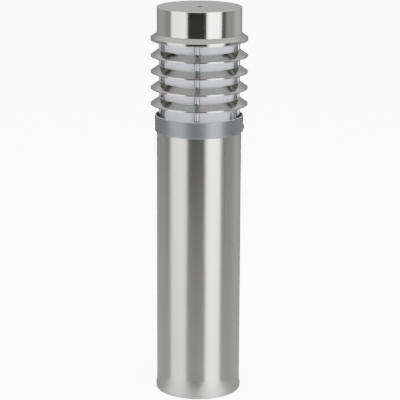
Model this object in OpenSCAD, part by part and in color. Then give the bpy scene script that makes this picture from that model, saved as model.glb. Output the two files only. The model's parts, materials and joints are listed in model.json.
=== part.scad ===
// Bollard light: a stainless tube post with a louvred lantern and a lift-off cap.
// Millimetres, +Z up. The origin is on the ground, on the post's centre line.
// -Y is the front.

/* [Post] */
// Outside diameter of the post tube and of the cap
post_d = 108; // [90:1:140]
// Wall of the post tube
post_wall = 1.5; // [1:0.1:3]
// Height of the tube's top edge above the ground
post_top = 350; // [250:1:900]
// How far the foot of the tube flares out, on the radius
foot_flare = 1.25; // [0.5:0.05:3]
// Height of the flared foot
foot_flare_h = 5; // [3:0.5:12]

/* [Base] */
// Thickness of the rubber gasket under the base plate
base_gasket_t = 1.2; // [0.8:0.1:4]
// Thickness of the base plate's flange under the tube
base_flange_t = 1.8; // [1.5:0.1:5]
// Height of the base plate's spigot inside the tube
base_spigot_h = 7; // [5:0.5:15]
// Diameter of the circle of anchor holes
anchor_pcd = 76; // [60:1:78]
// Diameter of an anchor hole
anchor_hole_d = 9; // [6:0.5:11]
// Thread diameter of the cable gland
gland_d = 16; // [12:1:20]
// Bore of the gland's rubber seal
cable_bore_d = 10.4; // [6:0.2:11]

/* [Tie rods] */
// Diameter of a tie rod
tie_rod_d = 6; // [5:1:8]
// Distance from the tube's bore in to a tie rod's centre
tie_rod_inset = 10.5; // [8.5:0.5:14]

/* [Bridge and lampholder] */
// Thickness of the bridge's flange on the tube
bridge_flange_t = 2; // [1.5:0.1:4]
// Thickness of the bridge's plate
bridge_plate_t = 3; // [2:0.5:5]
// Depth of the bridge's dish below the tube's top edge
bridge_dish = 12; // [11:0.5:20]
// Diameter of the hole in the bridge for the lampholder
bridge_hole_d = 48; // [44:1:60]
// Outside diameter of the lampholder
holder_d = 40; // [36:0.5:42]
// Height of the lampholder
holder_h = 40; // [38:1:46]
// Thickness of the bracket's steel strip
strip_t = 2; // [1.5:0.1:3]
// Width of the bracket's steel strip
strip_w = 18; // [14:1:20]

/* [Lamp] */
// Diameter of the lamp's dome
lamp_d = 60; // [45:1:62]
// Length of the lamp from its contact to its tip
lamp_len = 106; // [96:1:112]
// Diameter of the lamp's screw cap over the thread
lamp_cap_d = 26.2; // [26:0.1:26.4]
// Rise of the lamp's thread in one turn
lamp_pitch = 3.63; // [3.5:0.01:3.7]

/* [Collar] */
// Wall of the collar
collar_wall = 2.2; // [2:0.1:6]
// How far the collar's skirt hangs below its web
skirt_h = 11.2; // [9:0.1:16]
// Height of the collar's cup above its web
cup_h = 7.1; // [4:0.1:15]
// Thickness of the collar's web
web_t = 3; // [2:0.5:5]
// Diameter of the hole in the web that passes the lamp
throat_d = 68; // [66:1:76]
// Rounding of the collar's top outer edge
collar_round = 1.4; // [0.5:0.1:1.8]

/* [Louvre cage] */
// How far a louvre ring stands out past the post, on the radius
ring_reach = 7.8; // [4:0.1:20]
// Height of one ring above the next
ring_pitch = 20.45; // [18:0.05:30]
// Height of the lowest ring's rim above the collar's web
first_ring_gap = 19.8; // [15:0.1:40]
// Height of a ring's vertical rim
rim_h = 2; // [1.2:0.1:4]
// Height of the top ring's vertical rim
top_rim_h = 4.15; // [1.8:0.05:6]
// Sheet thickness of a ring
ring_t = 1.5; // [1:0.1:2]
// Rise of a ring's cone for each millimetre inwards
ring_slope = 0.7; // [0.4:0.05:0.8]
// Depth to which a sleeve's top sinks into a ring's underside
seat_sink = 0.1; // [0.05:0.05:0.3]
// How far a ring's flat hub runs out past the studs' circle
hub_margin = 2.6; // [2.4:0.1:5]
// Distance from the studs' circle in to the diffuser's outside
diffuser_inset = 4.5; // [4.3:0.1:8]
// Wall of the diffuser
diffuser_wall = 3; // [2:0.5:4]
// Distance from the post's outside in to the studs' circle
stud_inset = 6; // [5.8:0.1:6.2]
// Diameter of a cage stud
stud_d = 4; // [3:0.5:4]
// Outside diameter of a spacer sleeve
spacer_d = 7.4; // [6:0.2:7.6]
// Angle by which the cage is turned about the post
cage_turn = -3.4; // [-10:0.1:10]

/* [Cap] */
// Height of the cap
cap_h = 33; // [30:1:60]
// Wall of the cap
cap_wall = 1.2; // [0.8:0.1:2]
// Rounding of the cap's top edge
cap_round = 1; // [0.3:0.1:2]
// Diameter of the cap screw
cap_screw_d = 5; // [4:0.5:6]
// Diameter of the dimple that sinks the cap screw
dimple_d = 12.4; // [12:0.2:16]
// Depth of the dimple
dimple_depth = 2.6; // [2.6:0.1:4]

/* [Fits] */
// Gap between pieces that slide over each other
slide_gap = 0.3; // [0.2:0.05:0.6]
// Gap round a screw in its thread or guide
thread_gap = 0.08; // [0.05:0.01:0.1]
// Gap round a screw in a clearance hole
hole_gap = 0.25; // [0.15:0.05:0.5]

/* [Hidden] */
$fn = 96;

// Post and base
post_r = post_d / 2;
tube_in_r = post_r - post_wall;
spigot_r = tube_in_r - slide_gap;
plate_bottom = base_gasket_t;
tube_bottom = plate_bottom + base_flange_t;
plate_top = tube_bottom + base_spigot_h;
foot_r = post_r + foot_flare;
foot_land = 1.2;
flange_r = foot_r - 0.4;
gasket_r = flange_r - 0.5;
gasket_hole_r = gland_d / 2 + 6;
anchor_angles = [90, 210, 330];
blind_wall = 2;

// Cable gland
gland_r = gland_d / 2;
gland_hex_r = gland_r + 4;
gland_hex_h = 4;
gland_sleeve_r = gland_r + 0.5;
gland_sleeve_h = 8;
gland_bore_r = gland_r - 1.5;
seal_r = gland_bore_r - 0.1;
seal_h = gland_sleeve_h + 2;
gland_nut_h = 12;
gland_nut_gap = 2;

// Tie rods
tie_rod_r = tube_in_r - tie_rod_inset;
rod_angles = [30, 150, 270];
tie_bottom = plate_bottom + blind_wall;
tie_washer_t = 1.2;
tie_nut_h = tie_rod_d * 5 / 6;
tie_nut_r = tie_rod_d * 5.77 / 6;
tie_end = 1.5;

// Bridge
bridge_top = post_top + bridge_flange_t;
bridge_r = post_r - slide_gap;
dish_wall = 1.5;
dish_in_r = spigot_r - dish_wall;
bridge_under = post_top - bridge_dish;
bridge_floor = bridge_under + bridge_plate_t;
seal_t = 1;

// Lamp and lampholder
lamp_contact_z = post_top - 10;
holder_base = lamp_contact_z - 16;
holder_top = holder_base + holder_h;
socket_floor = lamp_contact_z - 4;
lamp_cap_r = lamp_cap_d / 2;
shell_in_r = lamp_cap_r + 0.4;
shell_t = 0.7;
socket_r = shell_in_r + shell_t + 0.1;
contact_stem_r = 3;
contact_head_r = 4.5;
contact_head_t = 1.7;
contact_top = lamp_contact_z - slide_gap;
pocket_depth = lamp_pitch + 2.4;
cap_len = 26;
lamp_tip = lamp_contact_z + lamp_len;
lamp_r = lamp_d / 2;
dome_centre = lamp_tip - lamp_r;
dome_cut = dome_centre - lamp_r * 0.45;
lamp_cap_bottom = lamp_contact_z + 2;
lamp_cap_top = lamp_contact_z + cap_len;
cap_shell_t = 0.6;
dome_wall = 1.5;
housing_wall = 1.8;
housing_foot_r = lamp_cap_r + 1.4;
housing_top_r = sqrt(lamp_r * lamp_r - pow(dome_centre - dome_cut, 2));
board_r = housing_top_r - dome_wall - 3;
board_t = 1.6;
led_size = 2.8;
led_ring_r = board_r - 5;
driver_w = 18;

// Bracket under the bridge
strap_top = holder_base;
strap_bottom = strap_top - strip_t;
leg_x = holder_d / 2 + 4;
foot_top = bridge_under;
foot_bottom = foot_top - strip_t;
foot_x = 42;
bracket_screw_x = 34;
bracket_screw_d = 4;
holder_screw_x = 8.5;
holder_screw_d = 3;
tab_w = 36;
tab_bottom = strap_bottom - 42;
tab_front = -strip_w / 2;

// Terminal block on the bracket's tab
block_w = 32;
block_d = 16;
block_h = 20;
block_bottom = tab_bottom + 6;
block_top = block_bottom + block_h;
pole_pitch = 10;
wire_y = tab_front - block_d / 2;
wire_d = 2.6;
wire_hole_r = wire_d / 2 + 0.7;
wire_grip = 3;

// Earth lug under the bridge
lug_x = 22;
lug_y = -28;
lug_t = 1.2;
barrel_x = 15.4;
barrel_h = 9;
barrel_r = wire_d / 2 + 0.9;

// Routes of the wires, from the terminal block up
holder_port_angle = [-110, -70];
port_z = holder_base + 6;
port_depth = 5;
live_route = [[-10, wire_y, block_top - wire_grip], [-10, wire_y, block_top + 3],
    [-10, -20, block_top + 10], [-9, -25, port_z - 7], [-8, -26, port_z - 2],
    [-7.5, -22, port_z], [-5.8, -16, port_z]];
neutral_route = [[0, wire_y, block_top - wire_grip], [0, wire_y, block_top + 3],
    [3, -20, block_top + 10], [7, -25, port_z - 7], [8, -26, port_z - 2],
    [7.5, -22, port_z], [5.8, -16, port_z]];
earth_route = [[10, wire_y, block_top - wire_grip], [10, wire_y, block_top + 3],
    [12, -20, block_top + 9], [15, -25, bridge_under - 18],
    [barrel_x, lug_y, bridge_under - 12], [barrel_x, lug_y, bridge_under - 5]];

// Collar
skirt_in_r = post_r + slide_gap;
collar_d = 2 * (skirt_in_r + collar_wall);
collar_r = collar_d / 2;
web_bottom = bridge_top + seal_t;
web_top = web_bottom + web_t;
skirt_bottom = web_bottom - skirt_h;
cup_top = web_top + cup_h;
boss_r = spacer_d / 2 + 0.2;
boss_h = 2;
boss_top = web_top + boss_h;

// Louvre cage
ring_d = post_d + 2 * ring_reach;
ring_r = ring_d / 2;
stud_r = post_r - stud_inset;
hub_r = stud_r + hub_margin;
diffuser_d = 2 * (stud_r - diffuser_inset);
diffuser_r = diffuser_d / 2;
ring_bore_r = diffuser_r + 0.8;
cone_rise = (ring_r - hub_r) * ring_slope;
sheet_drop = ring_t * sqrt(1 + ring_slope * ring_slope);
top_land_r = post_r + slide_gap;
top_cone_rise = (ring_r - top_land_r) * ring_slope;
ring_count = 5;
lowest_rim = web_top + first_ring_gap;
top_rim = lowest_rim + (ring_count - 1) * ring_pitch;
hub_h = rim_h + cone_rise;
cage_top = top_rim + top_rim_h + top_cone_rise;
top_plate_t = 2;
plate_r = stud_r + stud_d;
cage_angles = [for (i = [0:3]) cage_turn + 90 * i];
gasket_t = 2;
diffuser_bottom = web_top + gasket_t;
diffuser_top = cage_top - gasket_t;
washer_t = 0.8;
stud_nut_h = stud_d * 0.8;
stud_nut_r = stud_d * 1.01;
stud_end = 2;

// Diffuser clips
clip_angles = [-27, 153];
clip_w = 9;
clip_t = 1.2;
clip_h = 15;
clip_x = diffuser_r + slide_gap;
clip_foot_x = clip_x + 8.7;
clip_screw_x = clip_x + 5.7;
clip_screw_d = 3;

// Cap
cap_bottom = cage_top;
cap_top = cap_bottom + cap_h;
dimple_floor = cap_top - dimple_depth;
pillar_top = dimple_floor - cap_wall;
pillar_bottom = cage_top + top_plate_t;
pillar_r = 5;
cap_screw_r = cap_screw_d / 2;
cap_screw_len = 14;
cap_head_r = 4.5;
cap_head_h = 1.9;
cap_washer_t = 0.6;
pillar_screw_d = 4;

// Lock screws through the collar's skirt
lock_angles = [0, 150];
lock_d = 4;
lock_z = post_top - 3;
lock_head_r = 3;
lock_head_h = 1.2;

// A plain round bar or disc between two heights
module disc(r, z0, z1) { translate([0, 0, z0]) cylinder(r = r, h = z1 - z0); }

// A flat ring between two heights
module ring(r_out, r_in, z0, z1) {
    difference() {
        disc(r_out, z0, z1);
        disc(r_in, z0 - 1, z1 + 1);
    }
}

// A hexagon bar between two heights, r across its corners
module hexagon(r, z0, z1) { translate([0, 0, z0]) cylinder(r = r, h = z1 - z0, $fn = 6); }

// Copies of a piece round the centre line
module around(angles, r) {
    for (a = angles) rotate([0, 0, a]) translate([r, 0, 0]) children();
}

// A screw that points up, with its head below the height z
module screw_up(r, z, length, head_r, head_h) {
    disc(r, z, z + length);
    disc(head_r, z - head_h, z);
}

// A screw that points down, with its head above the height z
module screw_down(r, z, length, head_r, head_h) {
    disc(r, z - length, z);
    disc(head_r, z, z + head_h);
}

// Round wire swept along a route
function unit(v) = v / norm(v);
function heading(route, i) =
    unit(route[min(i + 1, len(route) - 1)] - route[max(i - 1, 0)]);
module wire(route, r, sides = 8) {
    count = len(route);
    points = [for (i = [0:count - 1])
        let (t = heading(route, i), u = unit(cross(t, [1, 0, 0])), v = cross(t, u))
        for (s = [0:sides - 1])
            route[i] + r * cos(360 * s / sides) * u + r * sin(360 * s / sides) * v];
    sides_faces = [for (i = [0:count - 2]) for (s = [0:sides - 1])
        let (a = i * sides + s, b = i * sides + (s + 1) % sides)
        [a, a + sides, b + sides, b]];
    start_face = [for (s = [0:sides - 1]) s];
    end_face = [for (s = [sides - 1:-1:0]) (count - 1) * sides + s];
    polyhedron(points, concat([start_face], sides_faces, [end_face]), convexity = 6);
}

// ---- Post ----

module base_gasket() color([0.12, 0.12, 0.12])
    difference() {
        ring(gasket_r, gasket_hole_r, 0, plate_bottom);
        around(anchor_angles, anchor_pcd / 2) disc(anchor_hole_d / 2 + 0.5, -1, plate_bottom + 1);
    }

module base_plate() color([0.62, 0.63, 0.64])
    difference() {
        union() {
            disc(flange_r, plate_bottom, tube_bottom);
            disc(spigot_r, plate_bottom, plate_top);
        }
        disc(gland_r + thread_gap, plate_bottom - 1, plate_top + 1);
        around(anchor_angles, anchor_pcd / 2) disc(anchor_hole_d / 2, plate_bottom - 1, plate_top + 1);
        around(rod_angles, tie_rod_r) disc(tie_rod_d / 2 + thread_gap, tie_bottom, plate_top + 1);
    }

module cable_gland_body() color([0.2, 0.2, 0.21])
    difference() {
        union() {
            disc(gland_r, tube_bottom, plate_top);
            hexagon(gland_hex_r, plate_top, plate_top + gland_hex_h);
            disc(gland_sleeve_r, plate_top, plate_top + gland_hex_h + gland_sleeve_h);
        }
        disc(gland_bore_r, 0, plate_top + gland_hex_h + gland_sleeve_h + 1);
    }

module cable_gland_seal() color([0.08, 0.08, 0.08])
    ring(seal_r, cable_bore_d / 2, plate_top + gland_hex_h, plate_top + gland_hex_h + seal_h);

module cable_gland_nut() {
    nut_bottom = plate_top + gland_hex_h + gland_nut_gap;
    nut_top = nut_bottom + gland_nut_h;
    color([0.2, 0.2, 0.21]) difference() {
        hexagon(gland_hex_r, nut_bottom, nut_top);
        disc(gland_sleeve_r + thread_gap, nut_bottom - 1, plate_top + gland_hex_h + seal_h);
        disc(gland_bore_r, nut_bottom, nut_top + 1);
    }
}

module post_tube() color([0.72, 0.72, 0.71])
    rotate_extrude()
        polygon([[foot_r, tube_bottom], [foot_r, tube_bottom + foot_land],
            [post_r, tube_bottom + foot_flare_h], [post_r, post_top], [tube_in_r, post_top],
            [tube_in_r, tube_bottom + foot_flare_h],
            [foot_r - post_wall, tube_bottom + foot_land], [foot_r - post_wall, tube_bottom]]);

module tie_rods() color([0.75, 0.73, 0.66])
    around(rod_angles, tie_rod_r)
        disc(tie_rod_d / 2, tie_bottom, bridge_floor + tie_washer_t + tie_nut_h + tie_end);

module tie_rod_washers() color([0.75, 0.75, 0.74])
    around(rod_angles, tie_rod_r)
        ring(tie_rod_d, tie_rod_d / 2 + hole_gap, bridge_floor, bridge_floor + tie_washer_t);

module tie_rod_nuts() color([0.75, 0.75, 0.74])
    around(rod_angles, tie_rod_r)
        difference() {
            hexagon(tie_nut_r, bridge_floor + tie_washer_t, bridge_floor + tie_washer_t + tie_nut_h);
            disc(tie_rod_d / 2 + thread_gap, bridge_floor, bridge_floor + tie_washer_t + tie_nut_h + 1);
        }

module top_bridge() color([0.66, 0.66, 0.66])
    difference() {
        union() {
            disc(bridge_r, post_top, bridge_top);
            disc(spigot_r, bridge_under, bridge_top);
        }
        disc(dish_in_r, bridge_floor, bridge_top + 1);
        disc(bridge_hole_d / 2, bridge_under - 1, bridge_top + 1);
        around(rod_angles, tie_rod_r) disc(tie_rod_d / 2 + hole_gap, bridge_under - 1, bridge_top);
        around([0, 180], bracket_screw_x)
            disc(bracket_screw_d / 2 + thread_gap, bridge_under - 1, bridge_top);
        translate([lug_x, lug_y, 0])
            disc(bracket_screw_d / 2 + thread_gap, bridge_under - 1, bridge_top);
    }

module head_seal() color([0.1, 0.1, 0.1])
    ring(bridge_r, dish_in_r, bridge_top, web_bottom);

// ---- Lampholder and wiring ----

module strip(x0, x1, z0, z1) {
    translate([x0, -strip_w / 2, z0]) cube([x1 - x0, strip_w, z1 - z0]);
}

module lampholder_bracket() color([0.7, 0.71, 0.7])
    difference() {
        union() {
            strip(-leg_x - strip_t, leg_x + strip_t, strap_bottom, strap_top);
            for (side = [0, 1]) mirror([side, 0, 0]) {
                strip(leg_x, leg_x + strip_t, strap_bottom, foot_top);
                strip(leg_x, foot_x, foot_bottom, foot_top);
            }
            translate([-tab_w / 2, tab_front, tab_bottom])
                cube([tab_w, strip_t, strap_top - tab_bottom]);
        }
        around([0, 180], bracket_screw_x)
            disc(bracket_screw_d / 2 + hole_gap, foot_bottom - 1, foot_top + 1);
        around([0, 180], holder_screw_x)
            disc(holder_screw_d / 2 + hole_gap, strap_bottom - 1, strap_top + 1);
        for (x = [-pole_pitch / 2, pole_pitch / 2])
            translate([x, tab_front - 1, block_bottom + block_h / 2]) rotate([-90, 0, 0])
                cylinder(r = holder_screw_d / 2 + thread_gap, h = strip_t + 2);
    }

module bracket_screws() color([0.76, 0.74, 0.6])
    around([0, 180], bracket_screw_x)
        screw_up(bracket_screw_d / 2, foot_bottom, strip_t + bridge_plate_t,
            bracket_screw_d * 0.9, bracket_screw_d * 0.7);

module lampholder_body() color([0.93, 0.92, 0.88])
    difference() {
        disc(holder_d / 2, holder_base, holder_top);
        disc(socket_r, socket_floor, holder_top + 1);
        disc(contact_stem_r + thread_gap, socket_floor - pocket_depth, socket_floor + 1);
        around([0, 180], holder_screw_x)
            disc(holder_screw_d / 2 + thread_gap, holder_base - 1, holder_base + 9);
        for (a = holder_port_angle) rotate([0, 0, a])
            translate([holder_d / 2 - port_depth, 0, port_z]) rotate([0, 90, 0])
                cylinder(r = wire_hole_r, h = port_depth + 1);
    }

module lampholder_shell() color([0.78, 0.66, 0.36])
    ring(shell_in_r + shell_t, shell_in_r, socket_floor, holder_top - 2);

module lampholder_screws() color([0.75, 0.75, 0.74])
    around([0, 180], holder_screw_x)
        screw_up(holder_screw_d / 2, strap_bottom, strip_t + 8, holder_screw_d * 0.9, 2);

module terminal_block() color([0.9, 0.9, 0.86])
    difference() {
        translate([-block_w / 2, tab_front - block_d, block_bottom]) cube([block_w, block_d, block_h]);
        for (pole = [-1:1]) {
            translate([pole * pole_pitch, wire_y, 0])
                disc(wire_hole_r, block_top - 6, block_top + 1);
            translate([pole * pole_pitch, wire_y, 0])
                disc(wire_hole_r, block_bottom - 1, block_bottom + 6);
            for (z = [block_bottom + 4, block_top - 4])
                translate([pole * pole_pitch, tab_front - block_d - 1, z]) rotate([-90, 0, 0])
                    cylinder(r = 2.4, h = 4);
        }
        for (x = [-pole_pitch / 2, pole_pitch / 2])
            translate([x, tab_front - block_d - 1, block_bottom + block_h / 2]) rotate([-90, 0, 0])
                cylinder(r = holder_screw_d / 2 + hole_gap, h = block_d + 2);
    }

module terminal_screws() color([0.8, 0.72, 0.42])
    for (pole = [-1:1], z = [block_bottom + 4, block_top - 4])
        translate([pole * pole_pitch, tab_front - block_d + 0.8, z]) rotate([-90, 0, 0])
            difference() {
                cylinder(r = 2.2, h = 2.2);
                translate([-3, -0.4, -1]) cube([6, 0.8, 1.8]);
            }

module terminal_fixings() color([0.75, 0.75, 0.74])
    for (x = [-pole_pitch / 2, pole_pitch / 2])
        translate([x, tab_front - block_d, block_bottom + block_h / 2]) rotate([-90, 0, 0]) {
            cylinder(r = holder_screw_d / 2, h = block_d + strip_t + 1);
            translate([0, 0, -1.6]) cylinder(r = 2.2, h = 1.6);
        }

module wire_live() color([0.42, 0.2, 0.08]) wire(live_route, wire_d / 2);
module wire_neutral() color([0.1, 0.25, 0.7]) wire(neutral_route, wire_d / 2);
module wire_earth() color([0.45, 0.65, 0.12]) wire(earth_route, wire_d / 2);

module earth_lug() color([0.75, 0.75, 0.72])
    difference() {
        union() {
            translate([lug_x, lug_y, 0]) disc(4.5, bridge_under - lug_t, bridge_under);
            translate([barrel_x - barrel_r, lug_y - barrel_r, bridge_under - lug_t])
                cube([lug_x - barrel_x + barrel_r, barrel_r * 2, lug_t]);
            translate([barrel_x, lug_y, 0]) disc(barrel_r, bridge_under - barrel_h, bridge_under - lug_t);
        }
        translate([barrel_x, lug_y, 0])
            disc(wire_d / 2 + thread_gap, bridge_under - barrel_h - 1, bridge_under - lug_t - 2);
        translate([lug_x, lug_y, 0])
            disc(bracket_screw_d / 2 + hole_gap, bridge_under - lug_t - 1, bridge_under + 1);
    }

module earth_screw() color([0.2, 0.5, 0.2])
    translate([lug_x, lug_y, 0])
        screw_up(bracket_screw_d / 2, bridge_under - lug_t, lug_t + bridge_plate_t, 3.6, 2.6);

module centre_contact() color([0.8, 0.68, 0.38]) {
    disc(contact_stem_r, socket_floor - pocket_depth + 1, contact_top);
    disc(contact_head_r, contact_top - contact_head_t, contact_top);
}

// ---- Lamp ----

module lamp_dome() color([0.96, 0.96, 0.94])
    intersection() {
        translate([0, 0, dome_centre]) difference() {
            sphere(r = lamp_r);
            sphere(r = lamp_r - dome_wall);
        }
        disc(lamp_r + 1, dome_cut, lamp_tip + 1);
    }

module lamp_housing() color([0.9, 0.9, 0.9]) {
    inside_top = dome_cut - housing_wall;
    difference() {
        translate([0, 0, lamp_cap_top])
            cylinder(r1 = housing_foot_r, r2 = housing_top_r, h = dome_cut - lamp_cap_top);
        translate([0, 0, lamp_cap_top - 0.01])
            cylinder(r1 = housing_foot_r - housing_wall, r2 = housing_top_r - housing_wall,
                h = inside_top - lamp_cap_top);
    }
}

module lamp_board() color([0.85, 0.87, 0.85]) disc(board_r, dome_cut, dome_cut + board_t);

module lamp_leds() color([0.95, 0.85, 0.3])
    around([0:30:330], led_ring_r)
        translate([-led_size / 2, -led_size / 2, dome_cut + board_t]) cube([led_size, led_size, 0.8]);

module lamp_driver() color([0.15, 0.4, 0.2])
    translate([-driver_w / 2, -board_t / 2, lamp_cap_bottom + 6])
        cube([driver_w, board_t, dome_cut - housing_wall - lamp_cap_bottom - 6]);

module lamp_screw_cap() color([0.74, 0.75, 0.76])
    difference() {
        disc(lamp_cap_r, lamp_cap_bottom, lamp_cap_top);
        disc(lamp_cap_r - cap_shell_t, lamp_cap_bottom + cap_shell_t, lamp_cap_top + 1);
    }

module lamp_insulator() color([0.08, 0.08, 0.09])
    translate([0, 0, lamp_contact_z + 1])
        cylinder(r1 = 6, r2 = lamp_cap_r - 2.5, h = lamp_cap_bottom - lamp_contact_z - 1);

module lamp_contact() color([0.78, 0.78, 0.76]) disc(4.6, lamp_contact_z, lamp_contact_z + 1);

// ---- Collar ----

module collar() color([0.6, 0.62, 0.64])
    difference() {
        union() {
            rotate_extrude()
                polygon(concat(
                    [[skirt_in_r, skirt_bottom], [collar_r, skirt_bottom]],
                    [for (a = [0:15:90]) [collar_r - collar_round + collar_round * cos(a),
                        cup_top - collar_round + collar_round * sin(a)]],
                    [[skirt_in_r, cup_top], [skirt_in_r, web_top], [throat_d / 2, web_top],
                    [throat_d / 2, web_bottom], [skirt_in_r, web_bottom]]));
            around(cage_angles, stud_r) disc(boss_r, web_bottom, boss_top);
        }
        around(cage_angles, stud_r) disc(stud_d / 2 + thread_gap, web_bottom + 0.5, boss_top + 1);
        around(clip_angles, clip_screw_x)
            disc(clip_screw_d / 2 + thread_gap, web_bottom + 0.5, web_top + 1);
        for (a = lock_angles) rotate([0, 0, a])
            translate([skirt_in_r - 1, 0, lock_z]) rotate([0, 90, 0])
                cylinder(r = lock_d / 2 + thread_gap, h = collar_r);
    }

module lock_screw(angle)
    rotate([0, 0, angle]) translate([0, 0, lock_z]) rotate([0, 90, 0]) {
        translate([0, 0, skirt_in_r]) cylinder(r = lock_d / 2, h = collar_r - skirt_in_r);
        difference() {
            translate([0, 0, collar_r]) cylinder(r = lock_head_r, h = lock_head_h);
            translate([0, 0, collar_r + 0.4]) cylinder(r = 1.3, h = lock_head_h, $fn = 6);
        }
    }

module lock_screw_right() color([0.75, 0.75, 0.75]) lock_screw(lock_angles[0]);
module lock_screw_rear() color([0.75, 0.75, 0.75]) lock_screw(lock_angles[1]);

// ---- Louvre cage ----

module lower_diffuser_gasket() color([0.15, 0.15, 0.15])
    ring(diffuser_r, diffuser_r - diffuser_wall - 1, web_top, diffuser_bottom);

module diffuser() color([0.86, 0.86, 0.9])
    ring(diffuser_r, diffuser_r - diffuser_wall, diffuser_bottom, diffuser_top);

module upper_diffuser_gasket() color([0.15, 0.15, 0.15])
    ring(diffuser_r, diffuser_r - diffuser_wall - 1, diffuser_top, cage_top);

// One ring: a rim, a cone that rises inwards to end_r, and a flat hub
module louvre(rim_z, rim, end_r) {
    rise = (ring_r - end_r) * ring_slope;
    top = rim + rise;
    in_r = ring_r - ring_t;
    color([0.74, 0.74, 0.74]) translate([0, 0, rim_z]) difference() {
        rotate_extrude()
            polygon([[ring_r, 0], [ring_r, rim], [end_r, top], [ring_bore_r, top],
                [ring_bore_r, top - ring_t],
                [ring_r - (rise + sheet_drop - ring_t) / ring_slope, top - ring_t],
                [in_r, rim + ring_slope * ring_t - sheet_drop], [in_r, 0]]);
        around(cage_angles, stud_r) {
            disc(stud_d / 2 + hole_gap, 0, top + 1);
            disc(spacer_d / 2 + 0.1, 0, top - ring_t + seat_sink);
        }
    }
}

module louvre_ring_1() louvre(top_rim, top_rim_h, top_land_r);
module louvre_ring_2() louvre(top_rim - ring_pitch, rim_h, hub_r);
module louvre_ring_3() louvre(top_rim - 2 * ring_pitch, rim_h, hub_r);
module louvre_ring_4() louvre(top_rim - 3 * ring_pitch, rim_h, hub_r);
module louvre_ring_5() louvre(lowest_rim, rim_h, hub_r);

module sleeve(z0, z1) ring(spacer_d / 2, stud_d / 2 + hole_gap, z0, z1);

module lower_spacers() color([0.78, 0.78, 0.78])
    around(cage_angles, stud_r) sleeve(boss_top, lowest_rim + hub_h - ring_t + seat_sink);

module ring_spacers() color([0.78, 0.78, 0.78])
    around(cage_angles, stud_r) {
        for (i = [0:ring_count - 3])
            sleeve(lowest_rim + i * ring_pitch + hub_h,
                lowest_rim + (i + 1) * ring_pitch + hub_h - ring_t + seat_sink);
        sleeve(top_rim - ring_pitch + hub_h, cage_top - ring_t + seat_sink);
    }

module cage_studs() color([0.7, 0.7, 0.7])
    around(cage_angles, stud_r)
        disc(stud_d / 2, web_bottom + 0.5, cage_top + top_plate_t + washer_t + stud_nut_h + stud_end);

module top_plate() color([0.8, 0.8, 0.8])
    difference() {
        disc(plate_r, cage_top, cage_top + top_plate_t);
        around(cage_angles, stud_r)
            disc(stud_d / 2 + hole_gap, cage_top - 1, cage_top + top_plate_t + 1);
        disc(pillar_screw_d / 2 + hole_gap, cage_top - 1, cage_top + top_plate_t + 1);
    }

module stud_washers() color([0.78, 0.78, 0.78])
    around(cage_angles, stud_r)
        ring(stud_d, stud_d / 2 + hole_gap, cage_top + top_plate_t, cage_top + top_plate_t + washer_t);

module stud_nuts() color([0.76, 0.76, 0.76])
    around(cage_angles, stud_r) {
        nut_bottom = cage_top + top_plate_t + washer_t;
        difference() {
            hexagon(stud_nut_r, nut_bottom, nut_bottom + stud_nut_h);
            disc(stud_d / 2 + thread_gap, nut_bottom - 1, nut_bottom + stud_nut_h + 1);
        }
    }

module clip() {
    translate([clip_x, -clip_w / 2, web_top]) cube([clip_foot_x - clip_x, clip_w, clip_t]);
    translate([clip_x, -clip_w / 2, web_top]) cube([clip_t, clip_w, clip_h]);
    translate([clip_x, -clip_w / 2, web_top + clip_h - clip_t]) cube([5, clip_w, clip_t]);
}

module diffuser_clips() color([0.8, 0.8, 0.8])
    difference() {
        around(clip_angles, 0) clip();
        around(clip_angles, clip_screw_x)
            disc(clip_screw_d / 2 + hole_gap, web_top - 1, web_top + clip_t + 1);
    }

module clip_screws() color([0.7, 0.7, 0.7])
    around(clip_angles, clip_screw_x)
        screw_down(clip_screw_d / 2, web_top + clip_t, clip_t + web_t - 1, 2.7, 1.8);

// ---- Cap ----

module cap_pillar() color([0.72, 0.72, 0.72])
    difference() {
        disc(pillar_r, pillar_bottom, pillar_top);
        disc(cap_screw_r + thread_gap, pillar_top - cap_screw_len, pillar_top + 1);
        disc(pillar_screw_d / 2 + thread_gap, pillar_bottom - 1, pillar_bottom + 6);
    }

module pillar_screw() color([0.75, 0.75, 0.74])
    screw_up(pillar_screw_d / 2, cage_top, top_plate_t + 5, pillar_screw_d * 0.9, 2.4);

module cap_shell() color([0.76, 0.76, 0.76])
    rotate_extrude()
        polygon(concat(
            [[post_r - cap_wall, cap_bottom], [post_r, cap_bottom]],
            [for (a = [0:15:90]) [post_r - cap_round + cap_round * cos(a),
                cap_top - cap_round + cap_round * sin(a)]],
            [[dimple_d / 2, cap_top], [dimple_d / 2, dimple_floor],
            [cap_screw_r + hole_gap, dimple_floor], [cap_screw_r + hole_gap, pillar_top],
            [dimple_d / 2 + cap_wall, pillar_top], [dimple_d / 2 + cap_wall, cap_top - cap_wall],
            [post_r - cap_wall, cap_top - cap_wall]]));

module cap_screw_washer() color([0.12, 0.12, 0.12])
    ring(cap_head_r + 0.8, cap_screw_r + hole_gap, dimple_floor, dimple_floor + cap_washer_t);

module cap_screw() color([0.35, 0.35, 0.36]) {
    head_bottom = dimple_floor + cap_washer_t;
    disc(cap_screw_r, head_bottom - cap_screw_len, head_bottom);
    difference() {
        disc(cap_head_r, head_bottom, head_bottom + cap_head_h);
        hexagon(1.8, head_bottom + 0.5, head_bottom + cap_head_h + 1);
    }
}

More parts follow.
